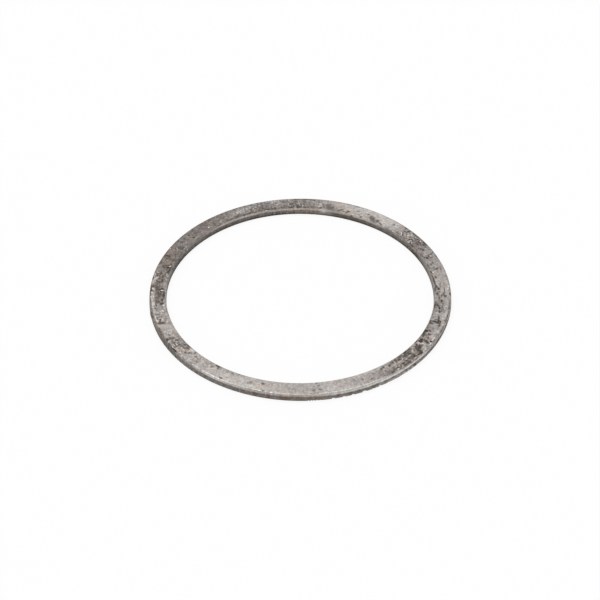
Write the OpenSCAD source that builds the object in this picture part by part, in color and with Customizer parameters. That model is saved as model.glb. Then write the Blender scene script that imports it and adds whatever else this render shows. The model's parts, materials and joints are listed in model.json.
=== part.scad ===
// Shim washer: a thin flat steel ring, stamped in one piece and worn in use.
// The ring lies on its lower face. The origin is on the bore's axis, in the plane of that face.

/* [Ring] */
// Diameter of the bore
bore_d = 80; // [30:0.5:160]
// Width of the flat band between the bore and the rim
band_w = 5.15; // [3:0.05:20]
// Thickness of the flat steel
thickness = 2.25; // [1.8:0.05:6]

/* [Rim edges] */
// Radius of the rim's upper edge, rolled over where the blank was sheared
rim_roll_r = 0.6; // [0.3:0.05:0.9]
// Radius of the rim's lower edge, where only the burr was taken off
rim_break_r = 0.15; // [0.05:0.05:0.4]

/* [Bore edges] */
// Width of the bevel round the bore's upper edge, measured across the face
bevel_w = 0.3; // [0.2:0.05:1.5]
// Depth of that bevel, measured down the bore
bevel_h = 0.6; // [0.2:0.05:0.9]
// Radius of the bore's lower edge, where only the burr was taken off
bore_break_r = 0.15; // [0.05:0.05:0.4]

/* [Dents] */
// Radius of the round bottom of the largest dent in the rim's lower edge
dent_r = 0.8; // [0.5:0.1:1.2]
// How far the largest dent bites in from the rim
dent_depth = 0.3; // [0.1:0.05:0.4]

/* [Hidden] */
bore_r = bore_d / 2;
outer_r = bore_r + band_w;
// Where the dents are: the angle of each, from +X towards +Y, and its size against the largest
dents = [[282, 0.7], [286, 0.5], [289.5, 0.6], [294, 1], [300.5, 0.8]];
stained_steel = [0.58, 0.56, 0.54];
// Smooth circles and arcs
$fn = 96;
// How far a cutting shape runs past the metal
over = 0.1;

// What a rounded corner loses, for a corner at [0, 0] with the metal below it and to its left
module corner_waste(r) {
    difference() {
        translate([-r, -r]) square(r + over);
        translate([-r, -r]) circle(r);
    }
}

// What a bevel takes off, for a corner at [0, 0] with the metal below it and to its right
module bevel_waste(w, h) {
    slope = h / w;
    polygon([
        [-over, -h - over * slope],
        [w + over, over * slope],
        [-over, over * slope]
    ]);
}

// Half of the ring's section, with the bore's axis at x = 0
module ring_section() {
    difference() {
        translate([bore_r, 0]) square([band_w, thickness]);
        translate([outer_r, thickness]) corner_waste(rim_roll_r);
        translate([outer_r, 0]) mirror([0, 1]) corner_waste(rim_break_r);
        translate([bore_r, 0]) rotate(180) corner_waste(bore_break_r);
        translate([bore_r, thickness]) bevel_waste(bevel_w, bevel_h);
    }
}

// The shape of one knock into the rim's lower edge
module dent(angle, share) {
    r = dent_r * share;
    bite = dent_depth * share;
    rotate(angle) translate([outer_r - bite + r, 0, 0]) sphere(r);
}

module shim_washer() {
    color(stained_steel) difference() {
        rotate_extrude() ring_section();
        for (place = dents) dent(place[0], place[1]);
    }
}

shim_washer();
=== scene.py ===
"""Dresses the shim washer: one worn, stained steel ring lying on a pale studio floor.

Places on the ring are given as an angle in degrees, from +X towards +Y, with the camera at 270.
On the upper face the second number is the distance from the bore in millimetres, on the walls it
is the height. Levels are the brightness of the metal on a scale from 0 to 255.
"""

import json
import math
import random

import bpy
import numpy as np
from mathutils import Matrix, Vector, noise


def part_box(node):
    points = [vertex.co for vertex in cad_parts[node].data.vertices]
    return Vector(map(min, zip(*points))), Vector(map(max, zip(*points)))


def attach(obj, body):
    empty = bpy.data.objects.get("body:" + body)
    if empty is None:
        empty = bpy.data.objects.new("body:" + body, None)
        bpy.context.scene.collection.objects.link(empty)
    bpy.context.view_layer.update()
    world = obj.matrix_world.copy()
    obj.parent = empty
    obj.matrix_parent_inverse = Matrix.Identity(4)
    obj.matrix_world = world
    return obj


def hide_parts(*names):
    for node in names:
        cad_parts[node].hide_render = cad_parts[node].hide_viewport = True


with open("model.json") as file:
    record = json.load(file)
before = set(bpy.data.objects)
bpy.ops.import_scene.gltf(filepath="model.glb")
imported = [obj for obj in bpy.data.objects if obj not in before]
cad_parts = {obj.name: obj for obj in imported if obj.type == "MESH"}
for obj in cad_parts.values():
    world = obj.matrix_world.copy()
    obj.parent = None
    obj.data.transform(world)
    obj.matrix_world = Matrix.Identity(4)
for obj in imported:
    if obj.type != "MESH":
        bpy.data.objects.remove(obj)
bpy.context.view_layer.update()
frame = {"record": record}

MM = 0.001

# The ring, as the frame gives it, in millimetres
RING_LOW, RING_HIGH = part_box("shim_washer")
MOUNTS = {mount["name"]: mount for mount in frame["record"]["mounts"]}
BORE_R = MOUNTS["bore"]["dims"]["r_mm"]
RIM_R = MOUNTS["rim"]["dims"]["r_mm"]
THICK = (RING_HIGH[2] - RING_LOW[2]) / MM
MIDDLE_R = (BORE_R + RIM_R) / 2

# Edges of the section
RIM_ROLL = 0.6
RIM_BREAK = 0.15
BEVEL_W = 0.3
BEVEL_H = 0.6
BORE_BREAK = 0.15

# Dents in the rim's lower edge: angle, and size against the largest
DENT_R = 0.8
DENT_DEPTH = 0.3
DENTS = [(282, 0.7), (286, 0.5), (289.5, 0.6), (294, 1), (300.5, 0.8)]
NICKS = [
    (273, 0.3), (274.1, 0.35), (275, 0.3), (276.1, 0.35), (277.2, 0.3), (297.5, 0.3), (304.2, 0.3),
    (312, 0.35),
]

# How far the outline leaves the true circle: lobes round the ring, angle of the first one, and its
# height in millimetres at the rim and at the bore
WAVES = [(2, 95, 0.08, -0.07), (5, 35, -0.04, 0.04)]

# Burr on the rim's wall: its angle, spread in degrees, reach outwards, height, and how deep it starts
BURR_ANGLE, BURR_SPREAD, BURR_REACH, BURR_HEIGHT, BURR_ROOT = 190.5, 1.6, 0.15, 0.7, 0.3

# How far the feet of both walls stand out, where the shear broke through, and where this grows: in
# height, and from the middle of the band as a share of its width
FOOT_FLARE, FLARE_HEIGHTS, FLARE_SIDES = 0.08, (0.9, 0.1), (0.3, 0.5)

# Depth of the pits under the dark spots, and the heights over which they fade in
PIT_DEPTH, PIT_HEIGHTS = 0.05, (THICK - 0.7, THICK)

# Mesh steps: round the ring, and along each stretch of the section
STEPS_ROUND = 1620
STEPS_LOWER_FACE = 3
STEPS_BREAK = 2
STEPS_RIM_WALL = 8
STEPS_ROLL = 8
STEPS_FACE = 26
STEPS_BEVEL = 4
STEPS_BORE_WALL = 8

# Camera, as fitted to the outlines in the photograph
PICTURE = 600
CAMERA_ELEVATION = math.radians(40.637)
CAMERA_DISTANCE = 14.3 * RIM_R * MM
PIXELS_PER_RIM_R = 150.858
RING_CENTRE_PIXEL = (299.713, 293.667)
MIDDLE_PIXEL = (PICTURE - 1) / 2
SENSOR = 36.0
CLIP_NEAR, CLIP_FAR = 0.05, 20

# Floor: half its side in metres, millimetres below the ring, and how white the camera sees it
FLOOR_HALF, FLOOR_DROP, FLOOR_WHITE_SHARE = 4.0, 0.02, 0.85
FLOOR_SCREEN_COLOUR = (250, 250, 250)

# Light
WORLD_STRENGTH, KEY_ENERGY = 0.6, 1.3
KEY_SPREAD, KEY_FROM = math.radians(60), (-0.2, 0.15, 1.0)

# Limits of the surfaces: distances from the bore, and heights
ROLL_FROM, RIM_FROM, RIM_WALL_FROM = 4.4, 4.9, 5.1
BEVEL_TO, BORE_TO, BORE_WALL_TO = 0.31, 0.29, 0.05
BORE_HALF_TO = 1
RIM_BELOW, BORE_BELOW, WALLS_BELOW = THICK - 0.02, THICK - 0.01, THICK - 0.3
FACE_MARKS_ABOVE = 0.3
UNDERSIDE_BELOW, UNDERSIDE_FROM, UNDERSIDE_TO = 0.05, 0.1, 5.05

# Where one level passes into the next: first distances from the bore, then heights
NEAR_TO_MIDDLE, MIDDLE_TO_FAR, FACE_TO_ROLL = (0.7, 2.4), (2.4, 4.2), (4.35, 4.75)
FACE_STARTS, FACE_ENDS = (0.1, 0.4), (5.0, 4.6)
# Heights over which the roll's lower half is painted lighter against the shade that falls on it, and over
# which the rim's lower level rises
ROLL_PAINTED_LIGHTER, RIM_LEVEL_RISES = (THICK - 0.1, THICK - 0.4), (1.0, 0.5)
BORE_FOOT_TO_WALL, BORE_WALL_TO_BEVEL = (0.2, 1.0), (1.47, 1.77)
# Heights over which the painted contact shadow at the feet of the walls comes in
FOOT_SHADE = (0.32, 0.08)

# Painted contact shadow at the feet of the walls: at the rim as a share of its level, and at the bore the
# level it darkens to
RIM_FOOT_SHADE = 0.06
BORE_FOOT_SHADOW_LEVEL = 76
# The bevel gets less light than the face, so it is drawn lighter by this factor
BEVEL_LIFT = 1.12

# The lower face isn't seen, so its wear is made up to match the upper one
UNDERSIDE_LEVEL, UNDERSIDE_CHANGE, UNDERSIDE_MOTTLE = 150, 45, 1.0
UNDERSIDE_PATCH, UNDERSIDE_SEED = 5.0, 7

# Tint of the walls: its share at the bore's foot, what it gains going up, and what the rim loses
BORE_TINT_AT_FOOT, BORE_TINT_GAIN, RIM_TINT_LOSS = 0.4, 0.6, 0.3
BORE_TINT_RISES, RIM_TINT_FADES = (0.6, 1.6), (1.4, 2.1)
# How far the tint drifts from place to place
TINT_DRIFT = 2.5

# Mottle of the walls against that of the face
BORE_WALL_MOTTLE, RIM_WALL_MOTTLE = 0.6, 0.9

# Soft edges of the marks: millimetres beyond the mark, and where they fade in, in sizes of the mark
SPOT_EDGE, FLECK_EDGE = 0.1, 0.02
MARK_FADES = (1.45, 0.6)
# Wide marks are paler: strength of the smallest, what it loses by each millimetre, and its limits
PALE_FROM, PALE_BY_SIZE, PALEST, STRONGEST = 1.2, 0.3, 0.55, 1.05
# No mark reaches further from its middle than this share of its size and this many millimetres
MARK_REACH, MARK_REACH_MORE = 0.8, 0.6
# The outlines of the marks are bent by this much, by bumps of this size, and the narrow ones less
BEND, BEND_SIZE, BEND_SEEDS = 0.14, 0.9, (1, 2)
BENT_WIDTH = 0.8
# Length and width of the small round marks
SMALL_MARK = (0.6, 0.5)
# Share of their strength that the dark marks of the walls keep
RIM_DARK_SHARE, BORE_DARK_SHARE = 0.7, 0.6
# How far across the face the camera sees a point, for each millimetre that it lies below the face
RIM_LEAN, BORE_LEAN = 1.06, 1.22

# Levels of the upper face: angle, then near the bore, in the middle and near the rim
FACE_LEVELS = [
    (0, 150, 170, 170), (6, 165, 170, 165), (14, 150, 165, 160), (22, 150, 150, 150), (26, 135, 155, 160),
    (30, 120, 130, 140), (34, 130, 125, 135), (38, 135, 155, 145), (42, 150, 165, 155), (46, 165, 185, 180),
    (52, 185, 200, 200), (57, 160, 185, 195), (62, 180, 190, 195), (67, 170, 190, 180), (71, 165, 180, 180),
    (75, 130, 170, 175), (78, 140, 135, 175), (81, 145, 165, 165), (84, 135, 150, 145), (88, 115, 130, 135),
    (95, 120, 135, 140), (101, 130, 150, 155), (105, 125, 130, 145), (110, 120, 145, 145),
    (117, 125, 160, 145), (123, 130, 140, 125), (130, 125, 120, 115), (138, 135, 120, 120),
    (143, 130, 130, 125), (149, 125, 125, 125), (158, 120, 120, 125), (164, 125, 130, 130),
    (168, 130, 125, 140), (172, 140, 115, 155), (176, 160, 120, 150), (182, 120, 110, 170),
    (188, 140, 125, 180), (192, 160, 165, 185), (200, 165, 170, 175), (205, 175, 180, 165),
    (209, 165, 150, 165), (213, 150, 140, 175), (217, 140, 160, 170), (221, 185, 170, 170),
    (230, 165, 170, 175), (238, 165, 185, 185), (250, 170, 185, 190), (264, 175, 170, 175),
    (270, 165, 165, 170), (276, 175, 170, 175), (282, 180, 185, 185), (288, 170, 170, 180),
    (294, 185, 165, 165), (301, 180, 155, 150), (307, 165, 150, 130), (311, 150, 155, 130),
    (317, 115, 140, 120), (322, 140, 130, 120), (326, 160, 180, 175), (330, 140, 155, 175),
    (334, 125, 160, 170), (338, 150, 160, 165), (345, 165, 165, 175), (351, 135, 150, 175),
    (355, 160, 150, 165),
]

# Level of the rolled rim edge: worn bare steel with a painted highlight
ROLL_WEAR_AND_HIGHLIGHT_LEVELS = [
    (0, 150), (8, 165), (20, 165), (30, 120), (40, 120), (50, 175), (60, 170), (70, 150), (85, 120),
    (95, 130), (105, 135), (125, 110), (140, 120), (150, 115), (157, 95), (165, 125), (175, 160),
    (180, 120), (187, 130), (195, 130), (205, 115), (216, 105), (220, 140), (230, 175), (236, 200),
    (250, 170), (275, 175), (288, 185), (306, 190), (318, 180), (324, 165), (336, 145), (342, 165),
    (348, 165), (354, 160),
]

# The rim's wall: angle, percent by which the roll's lower half is painted lighter against the shade that
# falls on it, height where the bright edge with its painted highlight ends, softness of that end, level
# below it, rise of that level at the foot
RIM_WALL = [
    (0, 10, 1.6, 0.3, 120, 0), (90, 10, 1.8, 0.3, 120, 5), (180, 10, 2, 0.3, 120, 0),
    (210, 10, 2.1, 0.25, 115, 0), (225, 10, 1.75, 0.3, 120, 5), (245, 10, 1.65, 0.25, 120, 0),
    (262, 0, 1.6, 0.3, 110, 5), (276, 0, 1.6, 0.3, 120, 5), (283, 10, 1.4, 0.3, 120, 20),
    (297, 10, 1.4, 0.25, 120, 20), (306, 20, 1.4, 0.3, 130, 30), (316, 20, 1.4, 0.3, 125, 30),
    (322, 10, 1.3, 0.3, 120, 10), (332, 0, 1.2, 0.25, 115, 5), (350, 0, 1.3, 0.3, 120, 0),
]

# The bore: angle, level of the bevel, of the wall's middle and of its foot
BORE_WALL = [
    (0, 135, 130, 110), (12, 130, 120, 100), (22, 125, 120, 90), (28, 115, 95, 60), (34, 120, 110, 85),
    (48, 130, 115, 85), (54, 165, 110, 85), (68, 160, 100, 75), (75, 150, 105, 75), (79.5, 170, 160, 110),
    (83, 160, 125, 85), (90, 160, 120, 80), (112, 160, 110, 80), (125, 165, 110, 80), (132, 140, 110, 80),
    (140, 125, 110, 80), (150, 120, 105, 80), (160, 110, 100, 80), (170, 125, 115, 95),
    (180, 150, 130, 110), (225, 150, 125, 105), (270, 150, 120, 100), (315, 145, 120, 100),
]

# Tint: angle, then for the face and for the walls; above 0 is brown, below 0 green
TINTS = [
    (0, 0.1, -0.1), (12, 0.15, -0.1), (22, -0.1, 0), (28, 0.1, 0.2), (34, 0, 0.1), (37, 0.2, 0.4),
    (41, 0.1, -0.3), (47, 0.15, 0.2), (52, -0.2, 0), (57, 0.1, 0.3), (62, 0, 0.2), (68, 0.15, 0.4),
    (76, 0.3, 0.3), (79.5, 0.05, 0), (82, 0.15, 0.8), (86, 0.2, 0.9), (92, 0.1, 0.9), (98, -0.05, 0.5),
    (103, 0, 0), (113, 0.1, 0.3), (119, -0.2, 0.1), (124, 0.25, 0.1), (131, 0.25, 0.1), (138, 0.1, 0),
    (143, 0.3, 0), (150, -0.1, -0.1), (155, 0.4, 0), (162, 0.3, 0.1), (168, 0.2, -0.1), (174, 0.35, 0),
    (182, 0.4, 0), (188, 0.2, 0), (193, 0.1, 0), (199, 0.2, 0.1), (205, 0.2, 0.3), (209, 0.2, -0.2),
    (216, 0.2, -0.2), (221, 0.1, -0.1), (230, 0.15, 0.1), (238, 0.1, 0.1), (248, 0, 0), (256, 0.25, 0.1),
    (262, 0.1, 0.6), (270, 0.1, 0.8), (277, 0, 0.6), (282, 0, 0), (288, 0.15, 0), (295, 0.05, 0),
    (299, -0.1, 0), (305, 0, 0), (309, 0.25, 0.1), (314, 0.2, 0), (319, 0.2, 0), (326, 0, 0), (332, 0.2, 0),
    (338, 0, 0), (343, -0.1, 0), (351, 0, 0), (356, 0.2, 0),
]

# How strongly the face is mottled
MOTTLE = [
    (0, 0.7), (25, 0.6), (30, 1), (40, 1), (48, 0.5), (78, 0.5), (90, 0.9), (105, 0.9), (120, 0.7),
    (138, 0.5), (155, 0.6), (170, 1), (190, 1), (203, 0.6), (213, 1), (222, 0.6), (250, 0.5), (295, 0.5),
    (305, 0.7), (315, 1), (325, 0.9), (335, 0.8), (350, 0.8),
]

# How dark the spots are against their own strength, round the ring
SPOT_GAIN = [
    (0, 1), (60, 1), (80, 0.7), (115, 0.7), (130, 0.9), (240, 0.9), (285, 0.7), (305, 1),
]

# Dark spots on the upper face: angle, distance from the bore, length along the ring, width, strength, and
# the turn in degrees where there is one
DARK_SPOTS = [
    (1, 3.2, 1.5, 0.3, 0.6), (1.2, 0.4, 1.8, 0.4, 0.6), (1.6, 1.5, 1.1, 0.55, 0.85, -20),
    (3.2, 0.85, 1.5, 0.6, 0.7), (3.4, 2.1, 2, 0.25, 0.45), (7, 0.5, 5.4, 0.35, 0.9, -2),
    (9.4, 1.35, 0.9, 0.5, 0.7), (12.8, 0.5, 1.2, 0.32, 0.7, -5), (13.6, 3.75, 2, 0.3, 0.35, 5),
    (14.2, 2.6, 1.3, 0.6, 0.7, 45), (14.6, 1.9, 1, 0.5, 0.4), (17, 0.5, 2.6, 0.3, 0.55),
    (17.5, 1.5, 0.7, 0.6, 0.45, 20), (18.4, 2.4, 0.8, 0.35, 0.5, 20), (21.6, 4.7, 0.5, 0.3, 0.8),
    (22, 1.7, 0.8, 0.6, 0.95, -20), (22.7, 1, 0.7, 0.3, 0.5, 25), (22.9, 2.5, 0.8, 0.3, 0.65, 10),
    (23.9, 0.7, 0.8, 0.5, 0.55), (24, 4, 1.8, 0.35, 0.6, 55), (25.4, 0.65, 1, 0.35, 0.4),
    (27.45, 2.25, 0.9, 0.6, 0.7), (28.6, 3.7, 1.5, 0.35, 0.45, 50), (30.5, 2.8, 0.8, 0.5, 0.5),
    (30.5, 4.4, 1.2, 0.4, 0.7), (31.4, 0.5, 0.6, 0.3, 0.6), (31.8, 2.4, 1.2, 0.45, 0.5),
    (32.3, 3.3, 1.2, 0.45, 0.85), (32.4, 0.55, 1, 0.3, 0.7), (33.8, 0.7, 0.9, 0.4, 0.85, 10),
    (34.2, 3.6, 0.4, 0.45, 0.6), (35.1, 2, 1.4, 0.3, 0.8, 25), (35.1, 3.3, 0.5, 0.35, 0.6),
    (36.5, 4.4, 2.4, 0.4, 0.4), (37, 3, 0.6, 0.4, 0.4, 20), (38.6, 0.6, 0.9, 0.5, 0.4),
    (40, 0.5, 0.8, 0.4, 0.35), (40.3, 3.9, 0.6, 1.2, 0.7, 10), (40.6, 1.55, 1.6, 0.22, 0.9, 48),
    (41, 3.1, 0.9, 0.4, 0.75), (42.5, 4.5, 1.2, 0.3, 0.45), (43.2, 0.9, 0.4, 1.2, 0.4),
    (46.6, -0.15, 3.4, 0.9, 0.35), (47.5, 3.1, 0.5, 0.8, 0.4), (52.3, 0.7, 1.8, 0.4, 0.6, 25),
    (53.5, 2.3, 0.4, 0.4, 0.3), (54.5, 1.25, 1.1, 1.2, 0.65), (56, 0.4, 2.4, 1, 0.5, 15),
    (57.2, 1.5, 2.6, 1.3, 0.85, 45), (62.1, 0.4, 0.8, 0.5, 0.5, -20), (63.5, 1.2, 0.5, 0.7, 0.35),
    (64.8, 2.5, 0.9, 0.4, 0.45, -25), (66, 4.5, 1.6, 0.35, 0.3), (66.5, -0.45, 0.9, 0.6, 0.6),
    (68.6, 1.3, 0.8, 0.5, 0.8), (72.1, 1.15, 2, 0.45, 0.75, -38), (74.8, 0.8, 1, 1.2, 0.3),
    (76.9, 1.4, 2.4, 1.8, 0.85), (78.1, 2.7, 1.9, 0.7, 0.6, -25), (78.7, 4.2, 0.3, 1, 0.45),
    (80.2, 2.6, 0.4, 1, 0.5, -15), (80.9, 0.8, 0.7, 0.7, 0.85), (82.3, 2.2, 0.4, 0.9, 0.4),
    (83.5, 0.75, 0.8, 0.5, 0.5), (85, 1, 0.8, 0.5, 0.65), (87, 4.5, 3, 0.35, 0.5), (88, 4.3, 1.3, 0.5, 0.5),
    (90.2, 0.7, 1.1, 0.6, 0.9), (91.2, 1.6, 0.6, 1.1, 0.6, -15), (91.4, 4.4, 1.9, 0.4, 0.8),
    (92, 3.1, 1.1, 0.5, 0.5, -15), (93.8, 2.2, 0.7, 0.9, 0.6), (94.2, 0.55, 0.8, 0.5, 0.75),
    (96.3, 1.5, 1.1, 1.1, 0.6), (96.5, 3.5, 0.6, 1.2, 0.5), (98.4, 0.9, 1.2, 0.5, 0.5, 15),
    (100.3, 3.3, 0.5, 0.9, 0.45), (102.4, 0.9, 0.7, 0.7, 0.5), (103.7, 3.5, 1, 0.5, 0.45),
    (104.3, 2.3, 1, 0.7, 0.45), (104.4, 0.65, 1.2, 0.4, 0.65), (106.4, 1.8, 0.8, 0.8, 0.65),
    (107.6, 2.4, 1.6, 0.5, 0.5), (108.1, 1, 0.6, 0.9, 0.5, -30), (111.1, 2.2, 2.6, 0.5, 0.65, -62),
    (111.8, 0.9, 1.1, 0.7, 1), (113.2, 4.3, 0.9, 0.55, 0.5), (113.3, 0.6, 1, 0.45, 0.85),
    (115.4, 0.6, 1.6, 0.5, 0.6), (116.6, 4.6, 0.5, 0.3, 0.95), (117.7, 1.4, 1.3, 0.35, 0.8, -38),
    (117.8, 3.9, 0.5, 1.4, 0.5, -10), (118.7, 0.75, 2.4, 0.8, 0.65, -10), (119.2, 4.1, 0.7, 0.8, 0.45),
    (122, 2.3, 0.4, 0.6, 0.4), (122.6, 0.65, 3, 0.45, 0.65), (123.9, 4.3, 0.9, 0.5, 0.45),
    (124.6, 2.4, 0.8, 0.5, 0.6), (128.6, 0.3, 1.2, 0.3, 0.5), (129.5, 1.5, 1.2, 0.6, 0.3, -35),
    (138.1, 1.5, 0.6, 0.4, 0.3, -30), (138.6, 4.3, 0.5, 0.7, 0.35), (140.5, 1.6, 0.8, 0.5, 0.5),
    (140.6, 2.6, 1.5, 0.45, 0.3), (141.4, 0.2, 0.9, 0.4, 0.45), (142.2, 1.6, 0.6, 0.7, 0.75),
    (142.3, 3.5, 0.6, 0.7, 0.5), (147.4, 3.3, 0.5, 0.8, 0.45, -15), (147.5, 4.5, 0.7, 0.5, 0.6, -20),
    (150.5, 1.4, 1.6, 0.8, 0.7), (151, 2.1, 1.3, 1.2, 0.55), (152.2, 3.1, 0.9, 0.4, 0.35, -40),
    (155.5, 4.5, 1.2, 0.35, 0.35), (155.6, 0.25, 1.2, 0.25, 0.4), (157.6, 3.8, 0.8, 1.9, 0.95, -8),
    (158.2, 3, 0.8, 0.5, 0.5, -30), (159.5, 2.3, 1.2, 0.7, 0.35), (162.4, 4.2, 0.9, 0.8, 0.55, 20),
    (163, 1.5, 0.6, 0.5, 0.7, 30), (163.6, 2.5, 0.3, 0.9, 0.5), (164.2, 3.2, 1, 0.3, 0.55),
    (164.55, 1.25, 0.65, 1.4, 1.2, -5), (165, 2.45, 0.4, 0.8, 0.6), (166.2, 0.7, 1.2, 0.5, 0.9),
    (167.3, 0.85, 1, 0.45, 0.9, 5), (168.3, 4.6, 0.6, 0.4, 0.5, -30), (168.5, 2.85, 1.5, 0.4, 0.7),
    (169.1, 3.75, 0.7, 0.9, 0.7, -20), (170.7, 1.9, 1.2, 0.7, 0.6), (172, 4.85, 1, 0.3, 0.95),
    (172.2, 2.9, 0.7, 0.3, 0.5), (173.2, 1.8, 1.6, 0.5, 0.85), (173.5, 3.4, 0.8, 0.5, 0.6),
    (174.2, 2.5, 0.9, 0.7, 0.4), (174.7, 3.3, 0.8, 0.8, 0.5), (176.7, 4.2, 0.9, 1, 0.75),
    (178, 2.9, 2.2, 1.1, 0.75), (178.2, 4.85, 3.2, 0.35, 0.95), (178.5, 1.5, 0.55, 1.3, 1, -20),
    (180.1, 1.4, 0.5, 0.8, 0.9), (181, 2.6, 1.2, 0.9, 0.4), (181.5, 5, 3.4, 0.25, 0.5),
    (181.9, 1.7, 0.9, 0.5, 0.55), (182.3, 0.7, 2.8, 0.5, 0.95), (183, 2.8, 4.6, 1.3, 0.35),
    (185.5, 1.15, 1.2, 0.6, 0.85), (186.3, 2.4, 0.8, 0.8, 0.45), (187.8, 1.5, 0.9, 1.2, 0.85, -10),
    (188, 3.35, 1.7, 0.4, 0.55), (190.4, 3.6, 1.9, 0.3, 0.5, -20), (191, 0.15, 1.6, 0.25, 0.6),
    (192.4, 5.35, 1.4, 0.35, 0.55), (194, 3.4, 0.8, 1, 0.45), (194.3, 0.18, 1.8, 0.22, 0.45),
    (196.2, 3.85, 1.3, 0.3, 0.5), (197.4, 1.6, 1.1, 0.8, 0.3), (198.4, 3.5, 0.8, 0.6, 0.75),
    (199.4, 3.3, 0.7, 2.1, 0.95, 5), (202, 4.5, 0.8, 0.25, 0.55, 10), (204.3, 4.6, 0.6, 0.7, 0.55),
    (207.2, 2.9, 0.8, 0.4, 0.45), (209.2, 3.1, 1, 1.3, 0.6), (211.2, 2.1, 0.9, 0.5, 0.55),
    (211.5, 3.8, 1.5, 0.6, 0.45, 35), (212.6, 0.8, 2.6, 0.7, 0.25), (213, 3.4, 1.6, 0.35, 0.7),
    (214.2, 4.2, 0.8, 0.3, 0.55), (214.3, 2.4, 2.2, 0.55, 0.5), (214.4, 3.2, 0.4, 1.1, 0.55),
    (215.5, 1, 1, 0.7, 0.5), (215.6, 4.85, 1.9, 0.25, 1), (216.7, 2.1, 1.2, 0.45, 0.6),
    (217, 0.6, 1.3, 0.45, 0.65), (217.5, 1.6, 0.9, 0.8, 0.45, -30), (217.8, 3.45, 1.1, 0.3, 0.35, 15),
    (221, 1.75, 0.5, 0.4, 0.6, -30), (222, 0.9, 0.5, 0.9, 0.55), (225.6, 2, 0.9, 0.3, 0.35),
    (226.1, 1.5, 0.3, 0.8, 0.3, -20), (226.3, 3.05, 0.8, 0.8, 0.45), (232.8, 1.7, 0.9, 0.9, 0.45, -30),
    (234, 0.65, 0.7, 0.35, 0.8), (234.8, 0.65, 0.8, 0.5, 0.8), (235.1, 1.3, 0.35, 0.9, 0.5, -25),
    (239.2, 4.25, 1.2, 0.45, 0.65, 15), (242.5, 1.3, 0.6, 0.3, 0.3, 30), (244.6, 0.6, 0.6, 0.35, 0.45),
    (249.6, 2.8, 0.4, 0.9, 0.4, -15), (250.6, 2.3, 0.6, 0.9, 0.45), (255.3, 1.8, 0.9, 0.6, 0.75),
    (274.4, 4.7, 1.3, 0.35, 0.4), (275.2, 3.4, 0.8, 0.7, 0.5), (277.6, 3.2, 0.9, 0.5, 0.6),
    (283.2, 1.4, 0.4, 0.4, 0.3), (291.7, 1.9, 0.6, 0.8, 0.4), (298.3, 3.4, 0.8, 0.4, 0.5, -20),
    (299.8, 1.5, 0.5, 1, 0.35, -20), (304.2, 1.35, 1.2, 0.4, 0.6, -10), (305.1, 4.7, 0.8, 0.4, 0.35),
    (305.5, 1.2, 0.6, 0.3, 0.7, -20), (306.5, 4.4, 0.9, 0.5, 0.65, -30), (308, 4.1, 1.8, 0.8, 0.5, -25),
    (308.1, 1.6, 0.6, 0.4, 0.8, -10), (308.6, 3, 0.9, 0.5, 0.35, -20), (309.7, 1.1, 1.2, 0.9, 0.45),
    (309.8, 3.7, 0.4, 0.3, 0.5), (310.2, 4.6, 0.8, 0.4, 0.55), (311.8, 1.2, 0.8, 1, 0.65),
    (313, 3.5, 0.9, 0.6, 0.8), (313.4, 1.3, 1.8, 1.1, 0.5), (313.6, 4.6, 2.4, 0.7, 0.65),
    (314.8, 0.7, 0.8, 0.4, 0.6), (315.3, 4.5, 0.8, 0.9, 0.65, -20), (316, 5, 8, 0.2, 0.35),
    (316.1, 1.6, 0.8, 1.2, 0.65), (316.5, 3.3, 0.8, 0.7, 0.55), (316.9, 4.7, 0.8, 0.35, 0.4),
    (317.5, 3.2, 0.8, 0.8, 0.4), (318, 1.6, 2, 1.1, 0.6), (318.3, 0.6, 1, 0.45, 0.85),
    (318.9, 3.9, 0.8, 0.4, 0.9), (319, 2.1, 0.9, 0.6, 0.65, -10), (319.6, 3.3, 1.2, 0.7, 0.4),
    (320.4, 0.85, 1.6, 0.45, 0.5, -38), (322.3, 4.3, 1.4, 0.9, 1, -25), (322.7, 3.4, 0.6, 1, 0.85, 15),
    (323.4, 2.4, 1.3, 1.3, 0.8), (323.6, 1.7, 0.7, 0.7, 0.6, -40), (324.6, 1.5, 1.4, 0.5, 0.8, -35),
    (324.7, 2.6, 1.6, 0.9, 1, -30), (325.8, 2.8, 0.8, 0.7, 0.7), (326.2, 0.5, 1.4, 0.3, 0.8),
    (327.4, 1.55, 0.9, 1, 1.05), (328.6, 1.5, 0.7, 1, 1), (328.6, 3.1, 0.7, 2.2, 0.95, 25),
    (330.8, 2.7, 0.8, 0.5, 0.55, -20), (331.5, 0.95, 1.5, 0.5, 0.75), (332.7, 0.6, 1.4, 0.4, 0.85),
    (332.9, 2.45, 0.6, 0.9, 0.65), (334.3, 0.85, 1, 0.9, 1), (335, 1.9, 1.2, 0.35, 0.7, -42),
    (336.5, 0.7, 0.8, 0.4, 0.4), (337.8, 5.05, 3, 0.2, 0.4, -2), (338.2, 0.6, 0.7, 0.35, 0.5),
    (338.7, 5, 0.6, 0.3, 0.5, -20), (339.3, 3.7, 0.9, 0.35, 0.75), (340.1, 0.65, 1.6, 0.4, 0.8, -5),
    (340.8, 2.9, 0.9, 0.6, 0.85), (340.9, 2.1, 0.5, 1.5, 1.05, 5), (341, 1.25, 0.8, 0.3, 0.6, -20),
    (341.6, 3.5, 0.8, 0.35, 0.9, -20), (341.9, 2.85, 0.8, 0.4, 0.9), (342.3, 2, 0.5, 0.8, 0.5),
    (342.7, 5, 1.4, 0.3, 0.4), (342.8, 4.8, 0.7, 0.3, 0.35), (343.3, 2.6, 2.2, 0.35, 0.75, -8),
    (344.9, 0.4, 0.7, 0.3, 0.6), (345.6, 4.93, 1.2, 0.28, 0.6, -8), (347, 0.4, 1.2, 0.3, 0.4),
    (347.4, 2.2, 1.3, 0.4, 0.6, -15), (347.5, 5.02, 2.4, 0.22, 0.3, -3), (348, 3.5, 0.8, 0.45, 0.3),
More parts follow.
